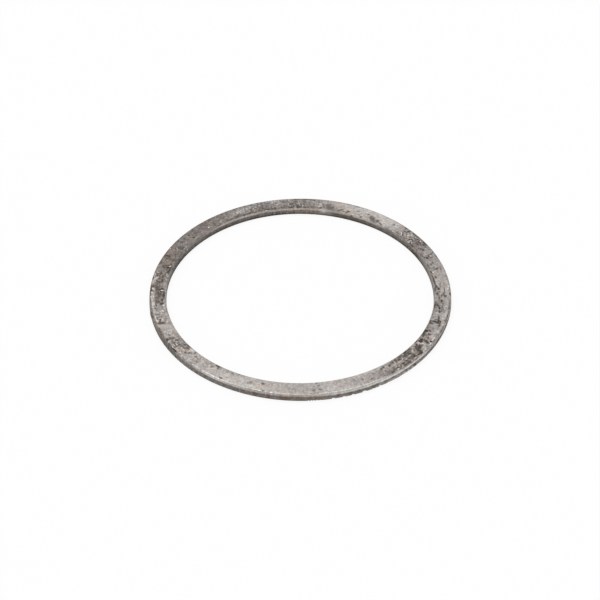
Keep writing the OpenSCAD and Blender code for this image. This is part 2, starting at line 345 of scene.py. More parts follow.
    (349, 3.1, 1.2, 0.25, 0.4), (349.4, 2, 0.8, 0.4, 0.9, -5), (350, 2.7, 3.2, 0.3, 0.5),
    (350.5, 4.83, 0.8, 0.38, 0.65), (350.6, 0.38, 2.3, 0.4, 0.85), (350.6, 1.6, 1.6, 0.3, 0.6, -40),
    (351.3, 1.1, 1, 0.5, 0.7, -15), (351.8, 4.78, 1.6, 0.28, 0.5, -3), (352.8, 0.7, 0.9, 0.9, 0.5),
    (354.1, 2.3, 0.9, 0.5, 0.85, -10), (355, 4.6, 0.8, 0.35, 0.35), (356.2, 1.5, 2.4, 0.4, 0.5),
    (357.2, 3.3, 0.9, 0.8, 0.7), (357.4, 2.3, 0.8, 0.4, 0.55), (358.4, 0.95, 1.5, 0.38, 0.7),
    (358.6, 4.78, 1, 0.3, 0.7), (359.6, 3.15, 0.9, 0.25, 0.5),
]

# Small round pits on the upper face: angle, distance from the bore, strength
DARK_PITS = [
    (21.6, 2.8, 0.55), (28.7, 1.9, 0.55), (30.1, 3.7, 0.7), (36.1, 1.6, 0.85), (59.9, 2.6, 0.55),
    (69.1, 0.6, 0.6), (70.5, 0.7, 0.6), (79.8, 1.5, 0.4), (82, 3.4, 0.5), (84.6, 4.3, 0.6),
    (95.5, 2.7, 0.35), (98.1, 4.1, 0.4), (101.4, 0.7, 0.75), (107.7, 4.3, 0.65), (109.5, 2.4, 0.6),
    (125.1, 3.3, 0.55), (128.4, -0.9, 0.5), (145, 3.5, 0.65), (179.4, 4.5, 0.85), (195.4, 3.2, 0.4),
    (197.3, 3.2, 0.8), (209.2, 4.3, 1), (209.6, 2.4, 0.6), (218.2, 1.3, 0.5), (219.4, 3, 0.65),
    (220.4, 2.2, 0.65), (223.9, 1.85, 0.6), (241.8, 1, 0.5), (256.3, 4.6, 0.45), (276.4, 4.4, 0.3),
    (276.5, 0.65, 0.55), (277.2, 1.6, 0.5), (294.7, 2.5, 0.5), (305, 2.7, 0.35), (315.2, 3.4, 0.55),
    (320.8, 4.3, 0.85), (329.5, 4.25, 1.1), (336.9, 2.4, 0.45), (339.5, 1.3, 0.55), (340.4, 3.4, 0.7),
    (358.2, 2.8, 0.7), (359.8, 1.6, 0.5),
]

# Bright flecks, in the same form
BRIGHT_FLECKS = [
    (1, 3.55, 0.9, 0.3, 0.65), (1.5, 4.2, 0.8, 0.5, 0.75), (3, 4.5, 1.3, 0.45, 0.6),
    (12.5, 1.05, 0.8, 0.35, 0.85), (13, 2, 2.1, 0.4, 0.5, 53), (18.8, 3, 0.9, 0.3, 0.3),
    (19, 1.7, 1.2, 0.6, 0.45), (24.6, 2, 0.6, 1, 0.5), (32.6, 3.95, 0.6, 0.45, 0.7, 20),
    (33.7, 1.15, 0.9, 0.3, 0.8, 35), (35.1, 0.4, 1, 0.35, 0.6), (35.1, 1.6, 0.5, 0.7, 0.75, -15),
    (35.2, 0.9, 1.7, 0.3, 0.65, 38), (35.4, 2.6, 0.7, 0.3, 0.6, 25), (37.6, 3.5, 1.2, 0.4, 0.75, 42),
    (38.45, 2.55, 0.6, 0.8, 0.6), (39.4, 1.8, 0.9, 0.4, 0.6, 45), (41.1, 1.5, 1.9, 0.3, 0.9, 45),
    (43.9, 1.5, 0.9, 0.4, 0.55), (44.7, 0.35, 1.3, 0.35, 0.5, 14), (45.6, 1.5, 0.9, 0.5, 0.45),
    (66.2, 2.8, 0.6, 0.9, 0.4), (70, 1.5, 1, 0.5, 0.3), (79.15, 3.55, 0.4, 0.8, 0.55),
    (79.3, 2.6, 0.4, 0.7, 0.35, -20), (79.6, -0.3, 2.2, 1.3, 0.6), (80.15, 3.4, 0.4, 0.9, 0.5),
    (81.5, 2.6, 0.6, 1, 0.45, 10), (81.7, 1.5, 0.9, 0.7, 0.6), (83.2, 1, 0.4, 0.7, 0.3, 20),
    (84.5, 3.5, 0.5, 0.8, 0.55), (86.5, 1.4, 0.6, 0.8, 0.4), (86.8, 3.75, 1.3, 0.9, 0.45),
    (88.9, 1.2, 0.4, 0.9, 0.55), (90.3, 1.8, 0.4, 0.7, 0.55), (92.3, 0.8, 0.9, 0.6, 0.3),
    (94.8, 4.1, 0.4, 1, 0.5), (95, 2.3, 0.35, 0.9, 0.5), (99.5, 2.7, 1.9, 0.5, 0.55, -47),
    (101.5, 4, 0.5, 1.7, 0.55), (104.6, 0.12, 1.6, 0.35, 0.62, 14), (107.4, 3.2, 0.7, 1.1, 0.4),
    (108.5, 4.1, 0.4, 0.5, 0.5), (110.3, 2.2, 0.5, 0.8, 0.55), (112.9, 3, 0.6, 1.5, 0.6),
    (113.6, 1.6, 0.9, 0.4, 0.3, -60), (114.3, 3.2, 1.4, 0.4, 0.6, -65), (115.8, 2.9, 1.5, 0.4, 0.4, -65),
    (116.4, -0.3, 0.9, 0.4, 0.4), (117.6, 2.2, 0.9, 0.4, 0.55, -20), (118.5, -0.2, 0.7, 0.3, 0.45),
    (119.3, 2.5, 0.7, 0.9, 0.5), (126, 3.4, 0.5, 0.7, 0.45, -30), (126.4, -0.35, 0.8, 0.45, 0.45),
    (129.5, 3.35, 0.8, 0.4, 0.5, 20), (132.9, -0.35, 0.8, 0.4, 0.35, -30),
    (133, 1.65, 0.8, 0.45, 0.85, -25), (143.2, 3.2, 0.5, 1.2, 0.4), (149.5, -0.3, 0.8, 0.45, 0.55, -20),
    (150.5, 0.75, 1, 0.3, 0.6), (151.8, 2.8, 0.9, 0.35, 0.5, -50), (157.6, 1.9, 0.7, 1.3, 0.35),
    (168.5, 2.2, 1.5, 0.3, 0.45, -25), (168.6, 3.8, 0.5, 0.7, 0.5), (169, 1, 1.2, 0.4, 0.5),
    (169.5, 4.5, 0.9, 0.5, 0.5), (171.7, 3.7, 1.9, 0.4, 0.8, 42), (174.3, 4.5, 1.9, 0.6, 0.5),
    (178.4, 4.2, 0.8, 0.38, 0.7), (179.4, 1.3, 0.5, 0.9, 0.8, 20), (180.6, 4.4, 0.8, 0.35, 0.65),
    (183.1, 3.9, 0.9, 0.42, 0.6, -20), (183.2, 4.7, 0.8, 0.4, 0.75), (185, 4.4, 1.4, 0.4, 0.7),
    (186, 0.6, 1, 0.35, 0.55), (187.6, 3.8, 1, 0.35, 0.8), (188, 0.45, 1, 0.25, 0.75),
    (188.4, 4.3, 0.9, 0.4, 0.5), (188.9, 0.95, 0.9, 0.9, 0.85), (189.6, 4.2, 0.5, 0.35, 0.7),
    (192.4, 1.6, 0.9, 1, 0.7), (195, 0.6, 0.9, 0.3, 0.6), (195.4, 4.4, 1.2, 0.6, 0.5),
    (197.5, 2.5, 0.7, 0.3, 0.65), (200.3, 4.6, 0.7, 0.4, 0.5, -15), (201, 3.5, 0.9, 0.5, 0.3),
    (201, 4.25, 0.9, 0.3, 0.45), (210.6, 4.3, 0.8, 0.4, 0.45, 30), (213.6, 3, 0.8, 0.4, 0.6),
    (214, 4.6, 0.8, 0.35, 0.75), (216, 2.7, 1.2, 0.35, 0.4, 40), (217.6, 2.6, 0.7, 0.45, 0.55, 15),
    (218.8, 2, 0.4, 0.9, 0.3), (219.8, 0.9, 1.6, 0.5, 0.75, -5), (221.5, 1.2, 0.4, 0.9, 0.35),
    (222.5, 2.4, 0.8, 0.8, 0.4), (226.4, 4.7, 0.8, 0.3, 0.65), (243, 4.8, 2.4, 0.3, 0.3),
    (245, 0.95, 0.6, 0.35, 0.35), (250.2, 4.55, 0.7, 0.35, 0.6), (253.6, 4.55, 0.7, 0.35, 0.7),
    (259.3, 4.75, 0.8, 0.3, 0.85, 10), (262.5, 4.7, 3.6, 0.22, 0.35), (282.6, 4.7, 0.7, 0.3, 0.4),
    (295.2, 4.9, 0.7, 0.3, 0.5, -25), (304.3, 2.6, 1.6, 0.25, 0.45, -65), (308.3, 2.45, 1.6, 0.35, 0.45),
    (309.4, 4.3, 0.8, 0.4, 0.8), (310.8, 1.8, 0.3, 1.2, 0.6), (311, 3.5, 1.2, 0.3, 0.4, -50),
    (311.8, 4.2, 1.4, 0.4, 0.5, -40), (312.8, 2.4, 1.3, 0.6, 0.6), (314.4, 2.1, 0.7, 0.4, 0.55, -40),
    (316.6, 0.8, 0.6, 0.8, 0.45), (318.5, 4.4, 0.9, 0.3, 0.85), (321, 1.8, 1.5, 0.6, 0.55, -40),
    (323.5, 4.4, 0.9, 0.5, 0.5), (324.6, 4.6, 0.9, 0.4, 0.75), (326.5, 1.4, 0.5, 0.9, 0.65),
    (328.2, 4.6, 1.2, 0.4, 0.65), (331.3, 4.3, 1.8, 0.3, 1), (335.8, 4.3, 0.75, 0.35, 0.45),
    (340.3, 4.6, 0.8, 0.35, 0.5), (343.9, 4, 0.9, 0.3, 0.45, -20), (345.5, 3.4, 0.9, 0.4, 0.65, 40),
    (346.2, 4.3, 1.2, 0.5, 0.35), (351.4, 3.9, 1.2, 0.4, 0.4, 15), (355.5, 2.2, 0.9, 0.5, 0.3),
    (356.5, 0.9, 1.8, 0.35, 0.35),
]

# Small round specks on the upper face, in the same form as the pits
BRIGHT_SPECKS = [
    (0.5, 1.6, 0.4), (4.4, 1.2, 0.6), (22.7, 3.1, 0.7), (42.3, 1.7, 0.4), (100.5, 4.4, 0.35),
    (109, 2.9, 0.35), (126.3, 1.6, 0.55), (128, -0.2, 0.35), (132, 1.5, 0.45), (153.2, 4.5, 0.6),
    (163.5, 1.08, 0.8), (165.3, 3.3, 0.3), (170.2, 3.9, 0.3), (192.3, 2.4, 0.6), (206.4, 2.7, 0.65),
    (212.1, 2.4, 0.6), (218.2, 4.1, 0.5), (241.3, 2.7, 0.3), (252.4, 3.8, 0.3), (254.9, 4.65, 0.75),
    (280.4, 4.8, 0.3), (315.9, 2.7, 0.45), (318.2, 2.65, 0.5), (322.3, 1.1, 0.6), (353.3, 1, 0.35),
    (359.3, 4.2, 0.4),
]

# Marks on the walls, in the same form, with the height in place of the distance from the bore
RIM_WALL_DARK = [
    (192.5, 0.9, 2.2, 1, 0.5), (203.5, 1.2, 4, 1, 0.3), (209, 1.3, 2.5, 1, 0.5), (214.5, 1.1, 3, 1.2, 0.6),
    (216.5, 0.8, 2, 0.8, 0.4), (224.5, 1.2, 1.6, 0.5, 0.35, 30), (228.8, 0.9, 1.2, 0.6, 0.3, 40),
    (233, 0.9, 1.4, 0.6, 0.35, 30), (241, 0.9, 2, 0.8, 0.3), (246, 0.8, 1.5, 0.6, 0.35, 30),
    (253.5, 1.1, 1.6, 1, 0.5), (258.5, 0.9, 1, 0.6, 0.3), (264, 0.7, 2.4, 0.8, 0.35),
    (270.5, 0.8, 1.6, 0.6, 0.25), (284, 0.8, 1.6, 0.9, 0.35), (287.8, 0.8, 1.2, 0.9, 0.35),
    (291.5, 0.9, 1.6, 0.9, 0.45), (297.5, 1, 1.6, 0.9, 0.55), (299, 1.2, 1, 0.6, 0.6),
    (303, 1, 2, 0.4, 0.4, -30), (306.5, 1.1, 1.6, 0.4, 0.4, -20), (312.5, 1, 1.6, 0.5, 0.45, -35),
    (316.5, 1, 2.4, 0.6, 0.45, -30), (321, 0.9, 3, 0.6, 0.4), (327, 0.8, 4, 0.5, 0.4),
    (334.5, 0.7, 3, 0.5, 0.45), (341, 0.7, 2.5, 0.4, 0.35),
]
RIM_WALL_BRIGHT = [
    (188, 1, 1.6, 1.4, 0.4), (218.5, 1.2, 0.8, 1.2, 0.3, 20), (222, 1.8, 1.5, 0.5, 0.3, 30),
    (267, 0.5, 1.2, 0.4, 0.25), (282.6, 1.5, 0.8, 0.4, 0.3, -40), (300.3, 0.9, 0.9, 0.5, 0.4),
    (308.5, 0.7, 1, 0.5, 0.3, -40),
]
BORE_WALL_DARK = [
    (28.4, 0.95, 2, 0.7, 1.1), (32, 1, 1.2, 0.5, 0.4, -20), (36, 0.7, 1.6, 0.4, 0.4),
    (51, 1, 1.6, 0.6, 0.3), (60, 1.2, 1.2, 0.8, 0.4), (64, 0.9, 1.8, 0.5, 0.4, -20),
    (66.3, 1.9, 0.7, 0.6, 0.4), (70, 1, 1.6, 0.9, 0.35), (73, 1.2, 1.2, 0.8, 0.4, -30),
    (79.5, 0.65, 2.2, 0.5, 0.5), (82, 1.3, 0.8, 0.6, 0.35), (88.5, 1.6, 1.5, 0.3, 0.4),
    (103, 1, 1, 0.5, 0.3, -20), (106, 1.6, 1.5, 0.4, 0.3, 15), (119, 1.3, 1.6, 0.5, 0.3, 15),
    (122, 0.9, 2, 0.6, 0.35, 20), (127, 0.9, 1.5, 0.7, 0.4, 30), (133, 1, 1.6, 0.5, 0.3, 20),
    (135.3, 1.1, 1.4, 0.5, 0.5), (144, 1.6, 1.2, 0.5, 0.35, -40), (152, 0.9, 1.6, 0.8, 0.35),
    (157, 1.5, 1, 0.5, 0.3, 30), (164, 1.3, 1.5, 0.6, 0.3, 20),
]
BORE_WALL_BRIGHT = [
    (40.5, 1.5, 1.5, 0.8, 0.15), (54.4, 1.9, 1.7, 0.5, 0.5), (61.7, 1.95, 0.6, 0.5, 0.5),
    (79.6, 1.7, 1.6, 0.8, 0.3), (88, 1.2, 1, 0.3, 0.3), (112.5, 1.8, 1.8, 0.35, 0.3),
    (150, 1.7, 0.9, 0.6, 0.3, 30),
]

# Ranges of the marks that are made up for the hidden walls: height, length, width, strength and turn
HIDDEN_MARK = [(0.5, 1.5), (0.8, 2.6), (0.4, 1.0), (0.25, 0.6), (-30, 30)]

# How far each seed moves the noise
SEED_SHIFT = (17.3, 5.1, 9.7)


# Section of the ring


def arc(centre, radius, start, end, steps):
    """Points on an arc in the section, without its last one. Angles are in degrees."""
    out = []
    for k in range(steps):
        a = math.radians(start + (end - start) * k / steps)
        out.append((centre[0] + radius * math.cos(a), centre[1] + radius * math.sin(a)))
    return out


def stretch(start, end, steps):
    """Points along a straight stretch of the section, without its last one."""
    return [
        (start[0] + (end[0] - start[0]) * k / steps, start[1] + (end[1] - start[1]) * k / steps)
        for k in range(steps)
    ]


def section():
    """The closed outline of the section as (radius, height), anticlockwise from the bore's lower edge."""
    low_in = (BORE_R + BORE_BREAK, 0.0)
    low_out = (RIM_R - RIM_BREAK, 0.0)
    wall_low = (RIM_R, RIM_BREAK)
    wall_high = (RIM_R, THICK - RIM_ROLL)
    face_out = (RIM_R - RIM_ROLL, THICK)
    face_in = (BORE_R + BEVEL_W, THICK)
    bore_high = (BORE_R, THICK - BEVEL_H)
    bore_low = (BORE_R, BORE_BREAK)
    points = stretch(low_in, low_out, STEPS_LOWER_FACE)
    points += arc((low_out[0], RIM_BREAK), RIM_BREAK, -90, 0, STEPS_BREAK)
    points += stretch(wall_low, wall_high, STEPS_RIM_WALL)
    points += arc((face_out[0], wall_high[1]), RIM_ROLL, 0, 90, STEPS_ROLL)
    points += stretch(face_out, face_in, STEPS_FACE)
    points += stretch(face_in, bore_high, STEPS_BEVEL)
    points += stretch(bore_high, bore_low, STEPS_BORE_WALL)
    points += arc((low_in[0], BORE_BREAK), BORE_BREAK, 180, 270, STEPS_BREAK)
    return np.array(points)


# Values round the ring


def scattered(seed, start, end, count):
    """Marks for a stretch of wall that the photograph doesn't show, like those on the rest of it."""
    draw = random.Random(seed)
    return [
        (draw.uniform(start, end), *(draw.uniform(*limits) for limits in HIDDEN_MARK)) for _ in range(count)
    ]


def small(places):
    """Marks of the small size, from their angle, distance from the bore and strength."""
    return [(angle, where, *SMALL_MARK, strength) for angle, where, strength in places]


HIDDEN_RIM = scattered(seed=3, start=8, end=172, count=46)
HIDDEN_BORE = scattered(seed=5, start=188, end=352, count=42)

# The marks of the upper face, of the rim's wall and of the bore's wall: table, share of the strength,
# and the table, if any, that changes it round the ring
DARK_MARKS = [
    (DARK_SPOTS + small(DARK_PITS), 1, SPOT_GAIN),
    (RIM_WALL_DARK + HIDDEN_RIM, RIM_DARK_SHARE, None),
    (BORE_WALL_DARK + HIDDEN_BORE, BORE_DARK_SHARE, None),
]
BRIGHT_MARKS = [
    (BRIGHT_FLECKS + small(BRIGHT_SPECKS), 1, None),
    (RIM_WALL_BRIGHT, 1, None),
    (BORE_WALL_BRIGHT, 1, None),
]


def round_value(stations, deg, column=1):
    """A table of stations read at each angle, with straight runs between them."""
    angles = np.array([s[0] for s in stations], float)
    values = np.array([s[column] for s in stations], float)
    return np.interp(deg % 360, angles, values, period=360)


def smoothstep(low, high, x):
    """0 at the low limit and 1 at the high one, with a smooth rise between them."""
    t = np.clip((x - low) / (high - low), 0, 1)
    return t * t * (3 - 2 * t)


def along_ring(deg, angle, radius):
    """Arc length in millimetres from an angle to each point."""
    return ((deg - angle + 180) % 360 - 180) * math.pi / 180 * radius


def rough_field(points, size, seed):
    """A smooth random value from about -1 to 1 at each point, with bumps of the given size in millimetres."""
    shift = Vector([seed * step for step in SEED_SHIFT])
    return np.array([noise.noise(Vector(p) / size + shift) for p in points])


def marks(places, deg, across, reach_r, warp, edge, gain):
    """Soft elongated marks, the strongest one at each point, with outlines bent by the warp fields.

    Wide marks are paler than small ones, and the gain table, if any, sets their strength round the ring.
    """
    total = np.zeros(len(deg))
    for angle, where, length, width, strength, *turned in places:
        along = along_ring(deg, angle, reach_r)
        near = np.abs(along) < MARK_REACH * max(length, width) + MARK_REACH_MORE
        bend = min(min(length, width) / BENT_WIDTH, 1)
        u, v = along[near] + bend * warp[0][near], across[near] - where + bend * warp[1][near]
        turn = math.radians(turned[0] if turned else 0)
        c, s = math.cos(turn), math.sin(turn)
        x, y = u * c + v * s, -u * s + v * c
        q = np.hypot(x / (length / 2 + edge), y / (width / 2 + edge))
        size = math.sqrt(length * width)
        depth = strength * min(max(PALE_FROM - PALE_BY_SIZE * size, PALEST), STRONGEST)
        if gain:
            depth *= float(round_value(gain, angle))
        total[near] = np.maximum(total[near], depth * smoothstep(*MARK_FADES, q))
    return total


def mark_field(tables, surfaces, deg, warp, edge):
    """One field from the marks of the upper face, of the rim's wall and of the bore's wall."""
    field = np.zeros(len(deg))
    for (places, share, gain), (here, across, reach_r) in zip(tables, surfaces):
        found = share * marks(places, deg, across, reach_r, warp, edge, gain)
        field = np.maximum(field, np.where(here, found, 0))
    return field


# Shape, stain and painted light and shade of the ring


def push_dents(r, z, deg):
    """Presses the round dents into the rim's lower edge."""
    for angle, share in DENTS + NICKS:
        ball, bite = DENT_R * share, DENT_DEPTH * share
        along = along_ring(deg, angle, RIM_R)
        left = ball ** 2 - along ** 2 - z ** 2
        inside = left > 0
        wall = RIM_R - bite + ball - np.sqrt(np.where(inside, left, 0))
        r = np.where(inside & (r > wall), wall, r)
    return r


def shape_ring(r, z, deg, pits):
    """The worn shape: uneven outline, burr, spread feet, dents and pits."""
    share = (r - BORE_R) / (RIM_R - BORE_R)
    for lobes, first, at_rim, at_bore in WAVES:
        r = r + np.cos(np.radians(lobes * (deg - first))) * (at_rim * share + at_bore * (1 - share))
    burr = np.exp(-(((deg - BURR_ANGLE) / BURR_SPREAD) ** 2)) * np.clip(1 - z / BURR_HEIGHT, 0, 1)
    r = r + BURR_REACH * burr * (r > RIM_R - BURR_ROOT)
    side = share - 0.5
    flare = FOOT_FLARE * smoothstep(*FLARE_HEIGHTS, z) * np.sign(side)
    r = push_dents(r + flare * smoothstep(*FLARE_SIDES, np.abs(side)), z, deg)
    return r, z - PIT_DEPTH * pits * smoothstep(*PIT_HEIGHTS, z)


def ring_mesh(name):
    """The ring swept round from its section, as one closed mesh of quads that carries the stain fields and
    the level with its painted light and shade.
    """
    outline = section()
    n = len(outline)
    turn = np.arange(STEPS_ROUND) * 360 / STEPS_ROUND
    r = np.tile(outline[:, 0], STEPS_ROUND)
    z = np.tile(outline[:, 1], STEPS_ROUND)
    deg = np.repeat(turn, n)
    fields = stain_fields(r, z, deg)
    r2, z2 = shape_ring(r, z, deg, fields["spot"])
    a = np.radians(deg)
    verts = np.c_[r2 * np.cos(a), r2 * np.sin(a), z2] * MM
    i = np.arange(STEPS_ROUND)[:, None]
    k = np.arange(n)[None, :]
    i2, k2 = (i + 1) % STEPS_ROUND, (k + 1) % n
    quads = np.stack(np.broadcast_arrays(i * n + k, i2 * n + k, i2 * n + k2, i * n + k2), -1).reshape(-1, 4)
    mesh = bpy.data.meshes.new(name)
    mesh.from_pydata(verts.tolist(), [], quads.tolist())
    for field, values in fields.items():
        mesh.attributes.new(field, "FLOAT", "POINT").data.foreach_set("value", values.astype(np.float32))
    mesh.shade_smooth()
    mesh.update()
    return mesh


def base_levels(r, z, deg, points):
    """Level of the metal before spots and grain, by face, rolled edge, rim wall, bore and underside, with
    painted highlight on the rolled edge and its lower half, and painted contact shadow at the feet.
    """
    across = r - BORE_R
    inner, middle, outer = (round_value(FACE_LEVELS, deg, c) for c in (1, 2, 3))
    face = inner + (middle - inner) * smoothstep(*NEAR_TO_MIDDLE, across)
    face = face + (outer - middle) * smoothstep(*MIDDLE_TO_FAR, across)
    # The rolled edge, worn bare and with a painted highlight
    roll = round_value(ROLL_WEAR_AND_HIGHLIGHT_LEVELS, deg)
    level = face + (roll - face) * smoothstep(*FACE_TO_ROLL, across)

    # The rim's wall carries the roll's level down, its lower half painted lighter against the shade that
    # falls on it
    lift, end, soft, lowest, rise = (round_value(RIM_WALL, deg, c) for c in (1, 2, 3, 4, 5))
    lowest = lowest + rise * smoothstep(*RIM_LEVEL_RISES, z)
    below = smoothstep(0, 1, (end + soft - z) / (2 * soft))
    lit = roll * (1 + lift / 100 * smoothstep(*ROLL_PAINTED_LIGHTER, z))
    on_rim = (across > RIM_FROM) & (z < RIM_BELOW)
    level = np.where(on_rim, lit + (lowest - lit) * below, level)

    bevel, wall, foot = (round_value(BORE_WALL, deg, c) for c in (1, 2, 3))
    bore = foot + (wall - foot) * smoothstep(*BORE_FOOT_TO_WALL, z)
    bore = bore + (BEVEL_LIFT * bevel - bore) * smoothstep(*BORE_WALL_TO_BEVEL, z)
    on_bore = (across < BORE_TO) & (z < BORE_BELOW)
    level = np.where(on_bore, bore, level)

    # Painted contact shadow at the feet of the rim and the bore
    shade = on_rim * RIM_FOOT_SHADE * level + on_bore * (level - BORE_FOOT_SHADOW_LEVEL)
    level = level - smoothstep(*FOOT_SHADE, z) * shade
    worn = UNDERSIDE_LEVEL + UNDERSIDE_CHANGE * rough_field(points, UNDERSIDE_PATCH, UNDERSIDE_SEED)
    return np.where(is_underside(across, z), worn, level)


def is_underside(across, z):
    """True where a point lies on the lower face."""
    return (z < UNDERSIDE_BELOW) & (across > UNDERSIDE_FROM) & (across < UNDERSIDE_TO)


def seen_across(across, z, a):
    """Distance from the bore at which the camera sees each point against the plane of the upper face."""
    drop, near = THICK - z, -np.sin(a)
    over_rim = np.where(near > 0, RIM_LEAN * near, 1.0)
    over_bore = np.where(near < 0, -BORE_LEAN * near, 1.0)
    return across + drop * (over_rim * (across > ROLL_FROM) - over_bore * (across < BEVEL_TO))


def tint_field(across, z, deg, on_face):
    """Brown or green tint of the face and of the walls."""
    face, walls = round_value(TINTS, deg, 1), round_value(TINTS, deg, 2)
    bore_share = BORE_TINT_AT_FOOT + BORE_TINT_GAIN * smoothstep(*BORE_TINT_RISES, z)
    rim_share = 1 - RIM_TINT_LOSS * smoothstep(*RIM_TINT_FADES, z)
    walls = walls * np.where(across < BORE_HALF_TO, bore_share, rim_share)
    return walls + (face - walls) * on_face


def mottle_field(across, z, deg, on_face):
    """How strongly the metal is mottled, on the face, the walls and the underside."""
    walls = np.where(across < BORE_HALF_TO, BORE_WALL_MOTTLE, RIM_WALL_MOTTLE)
    seen = round_value(MOTTLE, deg) * (on_face + (1 - on_face) * walls)
    return np.where(is_underside(across, z), UNDERSIDE_MOTTLE, seen)


def stain_fields(r, z, deg):
    """The fields that the material reads, one value a vertex: the level with its painted light and shade, and
    the stains.
    """
    a = np.radians(deg)
    points = np.c_[r * np.cos(a), r * np.sin(a), z]
    warp = [BEND * rough_field(points, BEND_SIZE, seed) for seed in BEND_SEEDS]
    across = r - BORE_R
    surfaces = [
        (z > FACE_MARKS_ABOVE, seen_across(across, z, a), MIDDLE_R),
        ((across > RIM_WALL_FROM) & (z < WALLS_BELOW), z, RIM_R),
        ((across < BORE_WALL_TO) & (z < WALLS_BELOW), z, BORE_R),
    ]
    on_face = smoothstep(*FACE_STARTS, across) * smoothstep(*FACE_ENDS, across) * (z > WALLS_BELOW)
    return {
        "tone": base_levels(r, z, deg, points) / 255,
        "spot": mark_field(DARK_MARKS, surfaces, deg, warp, SPOT_EDGE),
        "fleck": mark_field(BRIGHT_MARKS, surfaces, deg, warp, FLECK_EDGE),
        "tint": tint_field(across, z, deg, on_face),
        "mottle": mottle_field(across, z, deg, on_face),
    }


# Material


def srgb(r, g, b):
    """Linear colour of an 8-bit screen colour."""
    def channel(c):
        c /= 255
        return c / 12.92 if c <= 0.04045 else ((c + 0.055) / 1.055) ** 2.4
    return (channel(r), channel(g), channel(b), 1.0)


class Graph:
    """Short calls that add shader nodes and join them."""

    def __init__(self, material):
        material.use_nodes = True
        self.tree = material.node_tree

    def node(self, kind, inputs=(), **settings):
        """A node with its settings, and with each input linked to a socket or given a value."""
        made = self.tree.nodes.new("ShaderNode" + kind)
        for key, value in settings.items():
            setattr(made, key, value)
        for key, value in dict(inputs).items():
            self.join(value, made.inputs[key])
        return made

    def join(self, value, socket):
        """Links a socket to another one, or gives it a value."""
        if isinstance(value, bpy.types.NodeSocket):
            self.tree.links.new(value, socket)
        else:
            socket.default_value = value

    def math(self, operation, a, b=0.0, c=0.0):
        return self.node("Math", {0: a, 1: b, 2: c}, operation=operation).outputs[0]

    def vector(self, operation, a, b):
        return self.node("VectorMath", {0: a, 1: b}, operation=operation).outputs[0]

    def field(self, name):
        return self.node("Attribute", attribute_name=name).outputs["Fac"]

    def noise(self, vector, scale, detail, roughness):
        inputs = {"Vector": vector, "Scale": scale, "Detail": detail, "Roughness": roughness}
        return self.node("TexNoise", inputs).outputs["Fac"]

    def swing(self, noise_value, strength):
        """A noise value taken from its middle and scaled."""
        return self.math("MULTIPLY", self.math("SUBTRACT", noise_value, 0.5), strength)

    def spread(self, value, low, high, out_low=0.0, out_high=1.0, shape="SMOOTHSTEP"):
        """Maps one range to another, clamped, and smoothly unless the shape is LINEAR."""
        inputs = {"Value": value, "From Min": low, "From Max": high, "To Min": out_low, "To Max": out_high}
        return self.node("MapRange", inputs, interpolation_type=shape).outputs["Result"]

    def blend(self, share, a, b):
        """One number or another, by share."""
        return self.node("Mix", {0: share, 2: a, 3: b}, data_type="FLOAT").outputs[0]

    def blend_colour(self, share, a, b, mode="MIX"):
        """One colour or another, by share, or one multiplied by the other."""
        return self.node("Mix", {0: share, 6: a, 7: b}, data_type="RGBA", blend_type=mode).outputs[2]


# Colour of the metal at each level, from the darkest scale to bare steel
STEEL_RAMP = [
    (40, (37, 35, 32)), (70, (73, 68, 63)), (100, (105, 98.4, 93.3)), (125, (129, 122.4, 119.3)),
    (150, (154, 147.4, 144.3)), (175, (178, 172.4, 169.3)), (200, (203, 198.4, 194.3)),
    (230, (232, 229, 226)),
]
WHITE = (1, 1, 1, 1)
BROWN_TINT = (1.12, 1.0, 0.89, 1.0)
GREEN_TINT = (0.96, 1.0, 0.95, 1.0)

# Noises: scale in bumps a millimetre, detail and roughness
GRAIN, FLAKES, PATCHES = (3.4, 3.0, 0.6), (1.7, 2.0, 0.6), (0.8, 3.0, 0.55)
STREAKS, PEPPER = (2.0, 2.0, 0.5), (1.9, 2.0, 0.6)
RAGGED, DRIFT = (2.4, 3.0, 0.6), (0.55, 2.0, 0.5)

# How far each of them moves the level
FINE_SWING, MIDDLE_SWING, BROAD_SWING, STREAK_SWING = 0.35, 0.65, 0.55, 0.25
# Stretch of the streaks: radius against the way round the ring
STREAK_STRETCH = 0.3

# Pepper: noise values at which a dot starts and is full, and what the mottle lets through of it
PEPPER_DOTS = (0.60, 0.68)
PEPPER_BY_MOTTLE = (0.5, 1.2, 0.0, 0.7)

# Marks: how ragged they are, and from which strength on; where they start and are full; their levels
RAGGED_SWING, RAGGED_MARKS = 0.5, (0.02, 0.3)
SPOT_SHOWS, FLECK_SHOWS = (0.02, 0.92), (0.05, 0.95)
SPOT_LEVEL, SPOT_GRAIN, FLECK_LEVEL = 0.25, 0.2, 0.9

# Finish of the metal: a range of levels, and what it becomes
FINISH = {
    "Metallic": (0.35, 0.8, 0.0, 0.6),
    "Roughness": (0.3, 0.8, 0.8, 0.42),
    "Specular IOR Level": (0.3, 0.6, 0.05, 0.3),
}
GRAIN_RELIEF, BUMP_STRENGTH, BUMP_DEPTH = 0.6, 0.25, 0.03


def steel_colour(g, tone):
    """Colour of the metal at a level, as one colour ramp."""
    ramp = g.node("ValToRGB", {"Fac": tone})
    points = ramp.color_ramp.elements
    for point, (level, colour) in zip(points, (STEEL_RAMP[0], STEEL_RAMP[-1])):
        point.position, point.color = level / 255, srgb(*colour)
    for level, colour in STEEL_RAMP[1:-1]:
        points.new(level / 255).color = srgb(*colour)
    return ramp.outputs["Color"]


